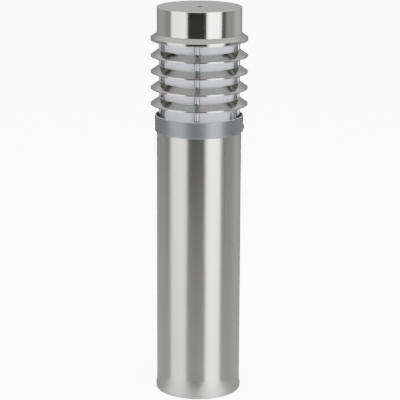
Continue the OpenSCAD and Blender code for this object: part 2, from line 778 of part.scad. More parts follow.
base_gasket();
base_plate();
cable_gland_body();
cable_gland_seal();
cable_gland_nut();
post_tube();
tie_rods();
tie_rod_washers();
tie_rod_nuts();
top_bridge();
head_seal();
lampholder_bracket();
bracket_screws();
lampholder_body();
lampholder_shell();
lampholder_screws();
terminal_block();
terminal_screws();
terminal_fixings();
wire_live();
wire_neutral();
wire_earth();
earth_lug();
earth_screw();
centre_contact();
lamp_dome();
lamp_housing();
lamp_board();
lamp_leds();
lamp_driver();
lamp_screw_cap();
lamp_insulator();
lamp_contact();
collar();
lower_diffuser_gasket();
diffuser();
upper_diffuser_gasket();
louvre_ring_1();
louvre_ring_2();
louvre_ring_3();
louvre_ring_4();
louvre_ring_5();
lower_spacers();
ring_spacers();
cage_studs();
top_plate();
stud_washers();
stud_nuts();
diffuser_clips();
clip_screws();
cap_pillar();
pillar_screw();
cap_shell();
cap_screw_washer();
cap_screw();
lock_screw_right();
lock_screw_rear();
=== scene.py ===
import json
import math

import bpy
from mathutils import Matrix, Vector


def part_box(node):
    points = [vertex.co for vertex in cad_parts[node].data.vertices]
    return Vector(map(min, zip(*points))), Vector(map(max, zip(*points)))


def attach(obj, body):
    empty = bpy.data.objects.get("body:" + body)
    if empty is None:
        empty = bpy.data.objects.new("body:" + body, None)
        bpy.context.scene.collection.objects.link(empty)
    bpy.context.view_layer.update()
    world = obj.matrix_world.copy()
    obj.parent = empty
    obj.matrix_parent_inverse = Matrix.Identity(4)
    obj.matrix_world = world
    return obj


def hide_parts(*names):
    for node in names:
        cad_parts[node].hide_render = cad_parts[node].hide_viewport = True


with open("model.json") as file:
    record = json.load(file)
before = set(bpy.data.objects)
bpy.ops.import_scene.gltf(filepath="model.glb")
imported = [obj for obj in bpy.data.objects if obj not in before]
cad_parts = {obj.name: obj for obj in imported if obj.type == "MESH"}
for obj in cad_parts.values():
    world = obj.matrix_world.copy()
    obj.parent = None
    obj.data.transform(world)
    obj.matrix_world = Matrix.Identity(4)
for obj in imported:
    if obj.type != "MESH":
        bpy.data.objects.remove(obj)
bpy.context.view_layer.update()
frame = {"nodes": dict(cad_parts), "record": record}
nodes = frame["nodes"]
mm = 0.001


# heights and radii that the pieces share, read off the frame
def bottomOf(node):
    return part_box(node)[0].z


def topOf(node):
    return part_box(node)[1].z


def radiusOf(node):
    low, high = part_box(node)
    return (high.x - low.x + high.y - low.y) / 4


postRadius = radiusOf("cap_shell")                               # the tube and the cap share one radius
hair = 0.01 * mm                                                 # keeps new pieces inside the CAD box
ringRadius = radiusOf("louvre_ring_3") - hair
print("frame loaded,", len(nodes), "nodes")

# metres, millimetres of lens and sensor, degrees
camera = {"distance": 2.3, "height": 0.83, "lens": 166.8, "sensor": 36, "pitch": 14.14, "roll": -0.25,
          "shift": -0.0018, "reach": 30}
camData = bpy.data.cameras.new("camera")
camData.lens = camera["lens"]
camData.sensor_width = camera["sensor"]
camData.shift_x = camera["shift"]
camData.clip_end = camera["reach"]
camObject = bpy.data.objects.new("camera", camData)
camObject.location = (0, -camera["distance"], camera["height"])
camObject.rotation_euler = (math.radians(90 - camera["pitch"]), math.radians(camera["roll"]), 0)
bpy.context.scene.collection.objects.link(camObject)
bpy.context.scene.camera = camObject


def addNode(tree, kind, **inputs):
    made = tree.nodes.new(kind)
    for key, value in inputs.items():
        made.inputs[key.replace("_", " ")].default_value = value
    return made


def mathNode(tree, operation, first, second=None):
    made = tree.nodes.new("ShaderNodeMath")
    made.operation = operation
    for place, value in enumerate((first, second)):
        if value is None:
            continue
        if isinstance(value, (int, float)):
            made.inputs[place].default_value = value
        else:
            tree.links.new(value, made.inputs[place])
    return made.outputs[0]


def groupWith(name, inputs, outputs):
    tree = bpy.data.node_groups.new(name, "ShaderNodeTree")
    for label, kind, value in inputs:
        tree.interface.new_socket(label, in_out="INPUT", socket_type=kind).default_value = value
    for label, kind in outputs:
        tree.interface.new_socket(label, in_out="OUTPUT", socket_type=kind)
    return tree, tree.nodes.new("NodeGroupInput"), tree.nodes.new("NodeGroupOutput")


def stretchedNoise(tree, coordinates, stretch):
    mapping = tree.nodes.new("ShaderNodeMapping")
    tree.links.new(coordinates, mapping.inputs["Vector"])
    tree.links.new(stretch, mapping.inputs["Scale"])
    noise = addNode(tree, "ShaderNodeTexNoise", Scale=1.0, Detail=3.0, Roughness=0.6)
    tree.links.new(mapping.outputs["Vector"], noise.inputs["Vector"])
    return noise.outputs["Fac"]


# fine lines drawn along one direction, over broad soft marks
def makeGrainGroup():
    tree, source, result = groupWith(
        "grain",
        [("Stretch", "NodeSocketVector", (400.0, 400.0, 6.0)), ("Broad", "NodeSocketFloat", 25.0),
         ("Base", "NodeSocketColor", (0.6, 0.6, 0.6, 1)), ("Tone", "NodeSocketFloat", 0.1),
         ("Roughness", "NodeSocketFloat", 0.3), ("Spread", "NodeSocketFloat", 0.1)],
        [("Color", "NodeSocketColor"), ("Roughness", "NodeSocketFloat"), ("Height", "NodeSocketFloat")])
    coordinates = tree.nodes.new("ShaderNodeTexCoord").outputs["Object"]
    lines = stretchedNoise(tree, coordinates, source.outputs["Stretch"])
    broad = addNode(tree, "ShaderNodeTexNoise", Detail=3.0, Roughness=0.5)
    tree.links.new(coordinates, broad.inputs["Vector"])
    tree.links.new(source.outputs["Broad"], broad.inputs["Scale"])
    centredLines = mathNode(tree, "SUBTRACT", lines, 0.5)
    centredBroad = mathNode(tree, "SUBTRACT", broad.outputs["Fac"], 0.5)
    both = mathNode(tree, "ADD", centredLines, mathNode(tree, "MULTIPLY", centredBroad, 0.7))
    shade = mathNode(tree, "ADD", mathNode(tree, "MULTIPLY", both, source.outputs["Tone"]), 1.0)
    tint = tree.nodes.new("ShaderNodeVectorMath")
    tint.operation = "SCALE"
    tree.links.new(source.outputs["Base"], tint.inputs[0])
    tree.links.new(shade, tint.inputs["Scale"])
    rough = mathNode(tree, "ADD", mathNode(tree, "MULTIPLY", both, source.outputs["Spread"]),
                     source.outputs["Roughness"])
    tree.links.new(tint.outputs[0], result.inputs["Color"])
    tree.links.new(rough, result.inputs["Roughness"])
    tree.links.new(lines, result.inputs["Height"])
    return tree


# small specks and pits, as in cast or moulded surfaces
def makeSpeckGroup():
    tree, source, result = groupWith(
        "speck",
        [("Size", "NodeSocketFloat", 900.0), ("Broad", "NodeSocketFloat", 40.0),
         ("Base", "NodeSocketColor", (0.5, 0.5, 0.5, 1)), ("Tone", "NodeSocketFloat", 0.1),
         ("Roughness", "NodeSocketFloat", 0.5), ("Spread", "NodeSocketFloat", 0.1)],
        [("Color", "NodeSocketColor"), ("Roughness", "NodeSocketFloat"), ("Height", "NodeSocketFloat")])
    coordinates = tree.nodes.new("ShaderNodeTexCoord").outputs["Object"]
    fine = addNode(tree, "ShaderNodeTexNoise", Detail=4.0, Roughness=0.65)
    broad = addNode(tree, "ShaderNodeTexNoise", Detail=4.0, Roughness=0.55)
    for noise, label in ((fine, "Size"), (broad, "Broad")):
        tree.links.new(coordinates, noise.inputs["Vector"])
        tree.links.new(source.outputs[label], noise.inputs["Scale"])
    both = mathNode(tree, "ADD", mathNode(tree, "SUBTRACT", broad.outputs["Fac"], 0.5),
                    mathNode(tree, "MULTIPLY", mathNode(tree, "SUBTRACT", fine.outputs["Fac"], 0.5), 0.5))
    shade = mathNode(tree, "ADD", mathNode(tree, "MULTIPLY", both, source.outputs["Tone"]), 1.0)
    tint = tree.nodes.new("ShaderNodeVectorMath")
    tint.operation = "SCALE"
    tree.links.new(source.outputs["Base"], tint.inputs[0])
    tree.links.new(shade, tint.inputs["Scale"])
    rough = mathNode(tree, "ADD", mathNode(tree, "MULTIPLY", both, source.outputs["Spread"]),
                     source.outputs["Roughness"])
    tree.links.new(tint.outputs[0], result.inputs["Color"])
    tree.links.new(rough, result.inputs["Roughness"])
    tree.links.new(fine.outputs["Fac"], result.inputs["Height"])
    return tree


# light wear where edges stick out
def makeWearGroup():
    tree, source, result = groupWith(
        "edgeWear", [("Color", "NodeSocketColor", (0.5, 0.5, 0.5, 1)), ("Amount", "NodeSocketFloat", 0.3),
                     ("Bright", "NodeSocketColor", (0.8, 0.8, 0.8, 1))], [("Color", "NodeSocketColor")])
    pointy = tree.nodes.new("ShaderNodeNewGeometry").outputs["Pointiness"]
    patches = addNode(tree, "ShaderNodeTexNoise", Scale=120.0, Detail=3.0)
    tree.links.new(tree.nodes.new("ShaderNodeTexCoord").outputs["Object"], patches.inputs["Vector"])
    edge = tree.nodes.new("ShaderNodeMapRange")
    edge.inputs["From Min"].default_value = 0.52
    edge.inputs["From Max"].default_value = 0.62
    tree.links.new(pointy, edge.inputs["Value"])
    mask = mathNode(tree, "MULTIPLY", mathNode(tree, "MULTIPLY", edge.outputs[0], patches.outputs["Fac"]),
                    source.outputs["Amount"])
    mix = tree.nodes.new("ShaderNodeMix")
    mix.data_type = "RGBA"
    tree.links.new(mask, mix.inputs["Factor"])
    tree.links.new(source.outputs["Color"], mix.inputs["A"])
    tree.links.new(source.outputs["Bright"], mix.inputs["B"])
    tree.links.new(mix.outputs["Result"], result.inputs["Color"])
    return tree


grainGroup = makeGrainGroup()
speckGroup = makeSpeckGroup()
wearGroup = makeWearGroup()
bumpDepth = 0.1 * mm


def newMaterial(name):
    material = bpy.data.materials.new(name)
    material.use_nodes = True
    tree = material.node_tree
    return material, tree, tree.nodes["Principled BSDF"]


def placeGroup(tree, group, values):
    placed = tree.nodes.new("ShaderNodeGroup")
    placed.node_tree = group
    for label, value in values.items():
        placed.inputs[label].default_value = value
    return placed


def bumpFrom(tree, shader, height, strength, distance):
    bump = addNode(tree, "ShaderNodeBump", Strength=strength, Distance=distance)
    tree.links.new(height, bump.inputs["Height"])
    tree.links.new(bump.outputs["Normal"], shader.inputs["Normal"])


def finish(name, group, look, metallic, wear=0.0):
    material, tree, shader = newMaterial(name)
    surface = placeGroup(tree, group, look["surface"])
    colour = surface.outputs["Color"]
    if wear:
        worn = placeGroup(tree, wearGroup, {"Amount": wear})
        tree.links.new(colour, worn.inputs["Color"])
        colour = worn.outputs["Color"]
    tree.links.new(colour, shader.inputs["Base Color"])
    tree.links.new(surface.outputs["Roughness"], shader.inputs["Roughness"])
    shader.inputs["Metallic"].default_value = metallic
    bumpFrom(tree, shader, surface.outputs["Height"], look["bump"], bumpDepth)
    for label, value in look.get("shader", {}).items():
        shader.inputs[label].default_value = value
    return material


def surfaceLook(base, tone, rough, spread, bump, stretch=None, size=None, broad=25.0, **rest):
    surface = {"Base": (*base, 1), "Tone": tone, "Roughness": rough, "Spread": spread, "Broad": broad}
    if stretch:
        surface["Stretch"] = stretch
    if size:
        surface["Size"] = size
    return {"surface": surface, "bump": bump, **rest}


def metal(name, look, wear=0.0):
    return finish(name, grainGroup, look, 1.0, wear)


def moulded(name, look):
    return finish(name, speckGroup, look, 0.0)


materials = {
    "brushed_stainless": metal("brushed_stainless", surfaceLook(
        (0.57, 0.57, 0.55), 0.14, 0.20, 0.08, 0.10, stretch=(700, 700, 5), broad=9.0), 0.25),
    "cap_stainless": metal("cap_stainless", surfaceLook(
        (0.77, 0.77, 0.75), 0.06, 0.11, 0.04, 0.02, stretch=(10, 10, 1600), broad=14.0), 0.3),
    "polished_stainless": metal("polished_stainless", surfaceLook(
        (0.58, 0.58, 0.56), 0.08, 0.12, 0.05, 0.02, stretch=(12, 12, 1400), broad=20.0), 0.4),
    "bright_sleeve": metal("bright_sleeve", surfaceLook(
        (0.36, 0.36, 0.38), 0.10, 0.30, 0.08, 0.06, stretch=(40, 40, 900), broad=60.0), 0.3),
    "clip_plate": metal("clip_plate", surfaceLook(
        (0.90, 0.90, 0.92), 0.10, 0.46, 0.10, 0.08, stretch=(300, 300, 40), broad=90.0), 0.4),
    "nickel_brass": metal("nickel_brass", surfaceLook(
        (0.66, 0.62, 0.52), 0.12, 0.24, 0.08, 0.06, stretch=(60, 60, 900), broad=60.0), 0.4),
    "brass": metal("brass", surfaceLook(
        (0.72, 0.55, 0.25), 0.15, 0.28, 0.10, 0.08, stretch=(90, 90, 900), broad=80.0), 0.3),
    "zinc_steel": metal("zinc_steel", surfaceLook(
        (0.56, 0.56, 0.53), 0.22, 0.34, 0.14, 0.10, stretch=(220, 220, 220), broad=50.0), 0.4),
    "dark_steel": metal("dark_steel", surfaceLook(
        (0.05, 0.05, 0.052), 0.2, 0.48, 0.12, 0.08, stretch=(300, 300, 300), broad=120.0), 0.5),
    "silver_paint": finish("silver_paint", speckGroup, surfaceLook(
        (0.16, 0.17, 0.178), 0.07, 0.36, 0.06, 0.12, size=1500.0, broad=30.0,
        shader={"Coat Weight": 0.12, "Coat Roughness": 0.3}), 0.7, 0.5),
    "cast_aluminium": finish("cast_aluminium", speckGroup, surfaceLook(
        (0.5, 0.5, 0.51), 0.2, 0.5, 0.15, 0.5, size=900.0, broad=60.0), 0.9, 0.5),
    "white_ceramic": moulded("white_ceramic", surfaceLook(
        (0.84, 0.82, 0.76), 0.05, 0.18, 0.05, 0.05, size=500.0, broad=50.0)),
    "white_nylon": moulded("white_nylon", surfaceLook(
        (0.80, 0.80, 0.75), 0.05, 0.42, 0.08, 0.12, size=1400.0, broad=60.0)),
    "black_nylon": moulded("black_nylon", surfaceLook(
        (0.035, 0.035, 0.038), 0.2, 0.45, 0.1, 0.15, size=1200.0, broad=60.0)),
    "black_rubber": moulded("black_rubber", surfaceLook(
        (0.022, 0.022, 0.022), 0.3, 0.68, 0.12, 0.3, size=900.0, broad=50.0)),
    "lamp_opal": moulded("lamp_opal", surfaceLook(
        (0.90, 0.90, 0.88), 0.03, 0.38, 0.05, 0.05, size=900.0, broad=30.0,
        shader={"Subsurface Weight": 0.3, "Subsurface Scale": 0.01})),
    "lamp_white": moulded("lamp_white", surfaceLook(
        (0.85, 0.85, 0.84), 0.04, 0.42, 0.06, 0.1, size=1300.0, broad=40.0)),
    "led_yellow": moulded("led_yellow", surfaceLook(
        (0.88, 0.72, 0.2), 0.1, 0.3, 0.05, 0.1, size=2500.0, broad=300.0)),
    "circuit_board": moulded("circuit_board", surfaceLook(
        (0.03, 0.22, 0.09), 0.3, 0.3, 0.08, 0.1, size=1800.0, broad=220.0)),
    "brown_insulation": moulded("brown_insulation", surfaceLook(
        (0.20, 0.075, 0.03), 0.15, 0.34, 0.06, 0.08, size=1500.0, broad=90.0)),
    "blue_insulation": moulded("blue_insulation", surfaceLook(
        (0.03, 0.12, 0.44), 0.15, 0.34, 0.06, 0.08, size=1500.0, broad=90.0)),
    "green_screw": finish("green_screw", speckGroup, surfaceLook(
        (0.05, 0.3, 0.1), 0.2, 0.35, 0.1, 0.1, size=1500.0, broad=200.0), 0.5, 0.5),
}


# the opal diffuser's look; its glow and glow strength are a painted glow, as no lamp is lit
opal = {"base": (0.90, 0.88, 0.94, 1), "size": 700.0, "broad": 22.0, "tone": 0.05, "rough": 0.42,
        "spread": 0.08, "scatter": 0.35, "scatterDepth": 12 * mm, "glow": (0.95, 0.92, 1, 1),
        "paintedGlowStrength": 0.16, "bump": 0.08}


# opal plastic: bright, faintly lilac, lets a little light through, and given a faint painted glow though no
# lamp is lit
def makeOpal():
    material, tree, shader = newMaterial("opal_diffuser")
    surface = placeGroup(tree, speckGroup, {
        "Size": opal["size"], "Broad": opal["broad"], "Base": opal["base"],
        "Tone": opal["tone"], "Roughness": opal["rough"], "Spread": opal["spread"]})
    tree.links.new(surface.outputs["Color"], shader.inputs["Base Color"])
    tree.links.new(surface.outputs["Roughness"], shader.inputs["Roughness"])
    shader.inputs["Subsurface Weight"].default_value = opal["scatter"]
    shader.inputs["Subsurface Scale"].default_value = opal["scatterDepth"]
    shader.inputs["Emission Color"].default_value = opal["glow"]
    shader.inputs["Emission Strength"].default_value = opal["paintedGlowStrength"]    # painted glow standing in for daylight through the wall
    bumpFrom(tree, shader, surface.outputs["Height"], opal["bump"], bumpDepth)
    return material


earthWire = {"green": (0.08, 0.32, 0.06, 1), "yellow": (0.75, 0.62, 0.05, 1), "stripes": 110.0, "edge": 0.55}


# green insulation with a yellow stripe
def makeEarthWire():
    material, tree, shader = newMaterial("earth_insulation")
    surface = placeGroup(tree, speckGroup, {"Size": 1500.0, "Broad": 90.0, "Base": earthWire["green"],
                                            "Tone": 0.1, "Roughness": 0.34, "Spread": 0.05})
    wave = addNode(tree, "ShaderNodeTexWave", Scale=earthWire["stripes"])
    wave.bands_direction = "DIAGONAL"
    tree.links.new(tree.nodes.new("ShaderNodeTexCoord").outputs["Object"], wave.inputs["Vector"])
    stripe = mathNode(tree, "GREATER_THAN", wave.outputs["Fac"], earthWire["edge"])
    mix = tree.nodes.new("ShaderNodeMix")
    mix.data_type = "RGBA"
    mix.inputs["B"].default_value = earthWire["yellow"]
    tree.links.new(stripe, mix.inputs["Factor"])
    tree.links.new(surface.outputs["Color"], mix.inputs["A"])
    tree.links.new(mix.outputs["Result"], shader.inputs["Base Color"])
    tree.links.new(surface.outputs["Roughness"], shader.inputs["Roughness"])
    bumpFrom(tree, shader, surface.outputs["Height"], 0.08, bumpDepth)
    return material


# roughness touches, and the colour and height band of the painted highlight on the collar's top edge
touches = {"satin": 0.27, "satinFrom": 0.8, "satinTo": 0.98,
           "dull": 0.3, "dullFrom": 26 * mm, "dullTo": 8 * mm,
           "edgeHighlight": (0.72, 0.74, 0.77, 1), "edgeHighlightFrom": 0.7 * mm, "edgeHighlightTo": 0.3 * mm}


# the cap is polished round its side and satin on its flat top
def satinTop(material):
    tree = material.node_tree
    shader = tree.nodes["Principled BSDF"]
    normal = tree.nodes.new("ShaderNodeTexCoord").outputs["Normal"]
    split = tree.nodes.new("ShaderNodeSeparateXYZ")
    tree.links.new(normal, split.inputs[0])
    facingUp = tree.nodes.new("ShaderNodeMapRange")
    facingUp.inputs["From Min"].default_value = touches["satinFrom"]
    facingUp.inputs["From Max"].default_value = touches["satinTo"]
    tree.links.new(split.outputs["Z"], facingUp.inputs["Value"])
    source = shader.inputs["Roughness"].links[0].from_socket
    extra = mathNode(tree, "MULTIPLY", facingUp.outputs[0], touches["satin"])
    tree.links.new(mathNode(tree, "ADD", source, extra), shader.inputs["Roughness"])


# the post's foot has lost its shine to the weather
def dullFoot(material):
    tree = material.node_tree
    shader = tree.nodes["Principled BSDF"]
    split = tree.nodes.new("ShaderNodeSeparateXYZ")
    tree.links.new(tree.nodes.new("ShaderNodeTexCoord").outputs["Object"], split.inputs[0])
    nearGround = tree.nodes.new("ShaderNodeMapRange")
    nearGround.inputs["From Min"].default_value = touches["dullFrom"]
    nearGround.inputs["From Max"].default_value = touches["dullTo"]
    tree.links.new(split.outputs["Z"], nearGround.inputs["Value"])
    source = shader.inputs["Roughness"].links[0].from_socket
    extra = mathNode(tree, "MULTIPLY", nearGround.outputs[0], touches["dull"])
    tree.links.new(mathNode(tree, "ADD", source, extra), shader.inputs["Roughness"])


# painted highlight: the collar's paint is made lighter along its top edge, where the overhead light catches it
def paintedEdgeHighlight(material, edgeHeight):
    tree = material.node_tree
    shader = tree.nodes["Principled BSDF"]
    split = tree.nodes.new("ShaderNodeSeparateXYZ")
    tree.links.new(tree.nodes.new("ShaderNodeTexCoord").outputs["Object"], split.inputs[0])
    highlightBand = tree.nodes.new("ShaderNodeMapRange")
    highlightBand.inputs["From Min"].default_value = edgeHeight - touches["edgeHighlightFrom"]
    highlightBand.inputs["From Max"].default_value = edgeHeight - touches["edgeHighlightTo"]
    tree.links.new(split.outputs["Z"], highlightBand.inputs["Value"])
    # painted highlight: a lighter colour mixed into the paint along the top edge
    mix = tree.nodes.new("ShaderNodeMix")
    mix.data_type = "RGBA"
    mix.inputs["B"].default_value = touches["edgeHighlight"]
    tree.links.new(highlightBand.outputs[0], mix.inputs["Factor"])
    tree.links.new(shader.inputs["Base Color"].links[0].from_socket, mix.inputs["A"])
    tree.links.new(mix.outputs["Result"], shader.inputs["Base Color"])


materials["opal_diffuser"] = makeOpal()
materials["earth_insulation"] = makeEarthWire()
satinTop(materials["cap_stainless"])
dullFoot(materials["brushed_stainless"])
# painted highlight on the collar's top edge
paintedEdgeHighlight(materials["silver_paint"], topOf("collar"))
print("materials made:", len(materials))


mergeWithin = 0.001 * mm


def clearSelection():
    if bpy.context.object and bpy.context.object.mode != "OBJECT":
        bpy.ops.object.mode_set(mode="OBJECT")
    bpy.ops.object.select_all(action="DESELECT")


def makeActive(piece):
    clearSelection()
    piece.select_set(True)
    bpy.context.view_layer.objects.active = piece


def applyModifier(piece, kind, **settings):
    makeActive(piece)
    modifier = piece.modifiers.new(kind.lower(), kind)
    for key, value in settings.items():
        setattr(modifier, key, value)
    bpy.ops.object.modifier_apply(modifier=modifier.name)


def settle(piece, angle=35):
    makeActive(piece)
    bpy.ops.object.transform_apply(location=True, rotation=True, scale=True)
    bpy.ops.object.shade_smooth_by_angle(angle=math.radians(angle))


# turns a closed outline of (radius, height) points round the centre line
def turn(name, outline, segments, centre=(0, 0)):
    clearSelection()
    firstRadius, firstHeight = outline[0]
    bpy.ops.mesh.primitive_circle_add(vertices=segments, radius=firstRadius, fill_type="NOTHING",
                                      location=(centre[0], centre[1], firstHeight))
    piece = bpy.context.object
    piece.name = name
    bpy.ops.object.transform_apply(location=True)
    bpy.ops.object.mode_set(mode="EDIT")
    bpy.ops.mesh.select_mode(type="VERT")
    bpy.ops.mesh.select_all(action="SELECT")
    radius, height = firstRadius, firstHeight
    for nextRadius, nextHeight in outline[1:] + outline[:1]:     # round the outline, back to its start
        bpy.ops.mesh.extrude_region_move(TRANSFORM_OT_translate={"value": (0, 0, nextHeight - height)})
        scale = nextRadius / radius
        bpy.ops.transform.resize(value=(scale, scale, 1), center_override=(*centre, nextHeight))
        radius, height = nextRadius, nextHeight
    bpy.ops.mesh.select_all(action="SELECT")
    bpy.ops.mesh.remove_doubles(threshold=mergeWithin)
    bpy.ops.mesh.normals_make_consistent(inside=False)
    bpy.ops.object.mode_set(mode="OBJECT")
    settle(piece)
    return piece


# a solid turned piece: the outline starts and ends on a pinhole that a merge closes
def turnSolid(name, outline, segments):
    pinhole = 0.02 * mm
    bottom, top = outline[0][1], outline[-1][1]
    piece = turn(name, [(pinhole, bottom)] + outline + [(pinhole, top)], segments)
    makeActive(piece)
    bpy.ops.object.mode_set(mode="EDIT")
    bpy.ops.mesh.select_all(action="SELECT")
    bpy.ops.mesh.remove_doubles(threshold=pinhole * 1.5)
    bpy.ops.mesh.select_all(action="SELECT")
    bpy.ops.mesh.delete_loose()
    bpy.ops.mesh.normals_make_consistent(inside=False)
    bpy.ops.object.mode_set(mode="OBJECT")
    settle(piece)
    return piece


def joined(name, pieces):
    clearSelection()
    for piece in pieces:
        piece.select_set(True)
    bpy.context.view_layer.objects.active = pieces[0]
    bpy.ops.object.join()
    pieces[0].name = name
    return pieces[0]


def cut(piece, cutter):
    applyModifier(piece, "BOOLEAN", object=cutter, operation="DIFFERENCE", solver="EXACT")
    bpy.data.objects.remove(cutter)


def holeCutter(radius, start, end):
    middle, along = (Vector(start) + Vector(end)) / 2, Vector(end) - Vector(start)
    clearSelection()
    bpy.ops.mesh.primitive_cylinder_add(vertices=32, radius=radius, depth=along.length, location=middle,
                                        rotation=along.to_track_quat("Z", "Y").to_euler())
    bpy.ops.object.transform_apply(location=True, rotation=True)
    return bpy.context.object


def show(piece, slot, body, *replaced, finishName=None):
    piece.data.materials.clear()
    piece.data.materials.append(materials[finishName or slot])
    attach(piece, body)
    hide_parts(*replaced)


def onCircle(radius, angle, height):
    return (radius * math.cos(math.radians(angle)), radius * math.sin(math.radians(angle)), height)


def arc(centreRadius, centreHeight, radius, startAngle, endAngle, steps):
    points = []
    for step in range(steps + 1):
        angle = math.radians(startAngle + (endAngle - startAngle) * step / steps)
        points.append((centreRadius + radius * math.cos(angle), centreHeight + radius * math.sin(angle)))
    return points


# every carried-over CAD node gets its own finish
slotOfNode = {entry["node"]: entry["material_slot"] for entry in frame["record"]["subparts"]}
for nodeName, node in nodes.items():
    material = materials[slotOfNode[nodeName]]
    if node.material_slots:
        for place in node.material_slots:
            place.material = material
    else:
        node.data.materials.append(material)

tube = {"wall": 1.5 * mm, "footLand": 0.8 * mm, "footHeight": 8 * mm, "lip": 0.35 * mm, "loops": 12}


def makeTube():
    low, high = bottomOf("post_tube"), topOf("post_tube")
    foot = radiusOf("post_tube")
    wall, land, lip, loops = tube["wall"], tube["footLand"], tube["lip"], tube["loops"]
    inner, outer, footHigh = postRadius - wall, postRadius, tube["footHeight"]
    outline = [(foot - wall, low + lip), (foot - wall + lip, low), (foot - lip, low), (foot, low + lip),
               (foot, low + land)]
    for step in range(1, loops + 1):                             # a soft S from the foot to the wall
        share = step / loops
        ease = share * share * (3 - 2 * share)
        outline.append((foot - (foot - outer) * ease, low + land + (footHigh - land) * share))
    outline += [(outer, low + footHigh + (high - low - footHigh) * step / loops) for step in range(1, loops)]
    outline += [(outer, high - lip), (outer - lip, high), (inner, high), (inner, low + footHigh)]
    return turn("postTube", outline, segments=192)


show(makeTube(), "brushed_stainless", "post", "post_tube")

footGasket = {"width": 40.3 * mm, "swell": 0.25 * mm, "anchorCircle": 38 * mm, "anchorHole": 5 * mm,
              "anchorAngles": (90, 210, 330)}


def makeFootGasket():
    low, high = bottomOf("base_gasket"), topOf("base_gasket")
    outer = radiusOf("base_gasket")
    inner = outer - footGasket["width"]
    swell = footGasket["swell"]
    past = 2 * mm                                                # the cutters run past both faces
    middle = (low + high) / 2
    gasket = turn("footGasket", [(inner, low), (outer - swell, low), (outer, middle), (outer - swell, high),
                                 (inner, high)], segments=160)
    for angle in footGasket["anchorAngles"]:
        cut(gasket, holeCutter(footGasket["anchorHole"],
                               onCircle(footGasket["anchorCircle"], angle, low - past),
                               onCircle(footGasket["anchorCircle"], angle, high + past)))
    settle(gasket)
    return gasket


show(makeFootGasket(), "black_rubber", "post", "base_gasket")
print("post made")

collar = {"wall": 2.2 * mm, "round": 1.5 * mm, "webThick": 3 * mm, "skirt": 11.2 * mm, "underEdge": 0.6 * mm,
          "bossRadius": 3.9 * mm, "bossRise": 2 * mm, "threadRadius": 2.1 * mm, "studCircle": 48 * mm,
          "throat": 34 * mm, "throatEdge": 0.3 * mm, "webFillet": 1 * mm, "lockHole": 2.08 * mm}
cageTurn = -3.4
cageAngles = [cageTurn + 90 * quarter for quarter in range(4)]
lockAngles = (0, 150)
lockHeight = (bottomOf("lock_screw_right") + topOf("lock_screw_right")) / 2


def makeBoss(webHigh, angle):
    inner, outer, top = collar["threadRadius"], collar["bossRadius"], webHigh + collar["bossRise"]
    edge, root = 0.3 * mm, 0.5 * mm                              # a soft top edge, a root in the web
    return turn("boss", [(inner, webHigh - root), (outer + 0.4 * mm, webHigh - root),
                         (outer, webHigh + 0.8 * mm), (outer, top - edge), (outer - edge, top),
                         (inner, top)], segments=40, centre=onCircle(collar["studCircle"], angle, 0)[:2])


def makeCollar():
    low, high = bottomOf("collar"), topOf("collar")
    outer = radiusOf("collar")
    inner = outer - collar["wall"]
    webLow = low + collar["skirt"]
    webHigh = webLow + collar["webThick"]
    edge, soft, fillet = collar["underEdge"], collar["throatEdge"], collar["webFillet"]
    outline = [(inner, low + edge / 2), (inner + edge / 2, low), (outer - edge, low), (outer, low + edge)]
    outline += [(outer, low + (high - low) * step / 6) for step in range(1, 5)]
    outline += arc(outer - collar["round"], high - collar["round"], collar["round"], 0, 90, 8)
    outline += [(inner + soft, high), (inner, high - soft), (inner, webHigh + fillet),
                (inner - fillet, webHigh), (collar["throat"], webHigh), (collar["throat"], webLow),
                (inner, webLow)]
    piece = turn("collarRing", outline, segments=192)
    past = 3 * mm
    for angle in lockAngles:
        cut(piece, holeCutter(collar["lockHole"], onCircle(inner - past, angle, lockHeight),
                              onCircle(outer + past, angle, lockHeight)))
    piece = joined("collarRing", [piece] + [makeBoss(webHigh, angle) for angle in cageAngles])
    settle(piece, 30)
    return piece


show(makeCollar(), "silver_paint", "head", "collar")

louvre = {"sheet": 1.5 * mm, "slope": 0.7, "hubRadius": 50.6 * mm, "boreRadius": 44.3 * mm,
          "edge": 0.35 * mm, "rim": 2.0 * mm, "topRim": 4.15 * mm, "topHub": 54.3 * mm, "hubEdge": 0.6 * mm}


def makeLouvre(number):
    node = f"louvre_ring_{number}"
    low, high = bottomOf(node), topOf(node)
    rim = louvre["topRim"] if number == 1 else louvre["rim"]
    hub = louvre["topHub"] if number == 1 else louvre["hubRadius"]
    sheet, slope, edge = louvre["sheet"], louvre["slope"], louvre["edge"]
    drop = sheet * math.sqrt(1 + slope * slope)
    innerHub = ringRadius - (high - low - rim + drop - sheet) / slope
    innerRim = low + rim + slope * sheet - drop
    outline = [(ringRadius - sheet, low + edge * 0.5), (ringRadius - sheet + edge * 0.5, low)]
    outline += arc(ringRadius - edge, low + edge, edge, -90, 0, 4)
    outline += arc(ringRadius - edge, low + rim - edge * 0.75, edge, 0, 55, 4)
    for step in range(1, 6):                                     # the cone, with loops to hold its shape
        share = step / 5
        outline.append((ringRadius - edge + (hub - ringRadius + edge) * share * 0.985,
                        low + rim + (high - low - rim) * share * 0.985 - 0.05 * mm * (1 - share)))
    outline += [(hub - louvre["hubEdge"], high), (louvre["boreRadius"], high),
                (louvre["boreRadius"], high - sheet), (innerHub, high - sheet), (ringRadius - sheet, innerRim)]
    return turn(f"louvre{number}", outline, segments=192)


for number in range(1, 6):
    show(makeLouvre(number), "polished_stainless", "head", f"louvre_ring_{number}")
print("collar and louvres made")

diffuser = {"wall": 3 * mm, "ribPitch": 1.7 * mm, "ribDepth": 0.22 * mm, "plainEnd": 2.5 * mm}


